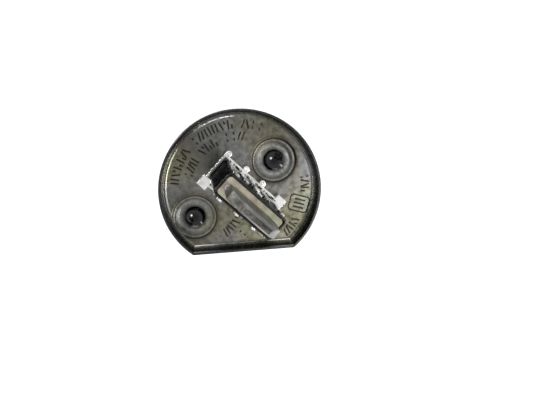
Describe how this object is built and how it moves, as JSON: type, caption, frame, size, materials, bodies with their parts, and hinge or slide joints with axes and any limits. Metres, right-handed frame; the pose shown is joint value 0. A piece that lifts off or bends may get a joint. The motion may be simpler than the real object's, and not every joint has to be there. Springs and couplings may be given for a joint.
{
  "type": "headlight bulb",
  "caption": "Halogen headlight bulb with a flanged sheet-metal cap, a rear blade terminal and a quartz envelope round an axial filament.",
  "frame": {"origin": "on the bulb's axis, in the seating plane at the front face of the flange", "axes": "+Z along the axis towards the rear blade, the quartz envelope points to -Z, the flange's flat faces -Y"},
  "size_m": [0.0144, 0.0128, 0.0492],
  "materials": {
    "quartz": "clear",
    "tungsten": "satin drawn wire",
    "molybdenum": "satin",
    "nickel": "satin",
    "clip_steel": "rolled sheet",
    "sleeve_steel": "rolled sheet",
    "flange_steel": "dull, mottled by heat",
    "bright_tin": "bright tinned",
    "dark_shell": "glossy dark",
    "ceramic_body": "matte, slightly speckled",
    "blade_tin": "satin tinned"
  },
  "bodies": {
    "root": {"envelope": "quartz", "filament": "tungsten", "long_lead_in": "molybdenum", "short_lead_in": "molybdenum", "live_foil": "molybdenum", "earth_foil": "molybdenum", "live_pin": "nickel", "earth_pin": "nickel", "pinch_clip": "clip_steel", "sleeve": "sleeve_steel", "flange": "flange_steel", "retainer_frame": "bright_tin", "rear_shell": "dark_shell", "insulator": "ceramic_body", "blade": "blade_tin", "live_link": "nickel", "earth_strap": "nickel"}
  },
  "joints": []
}
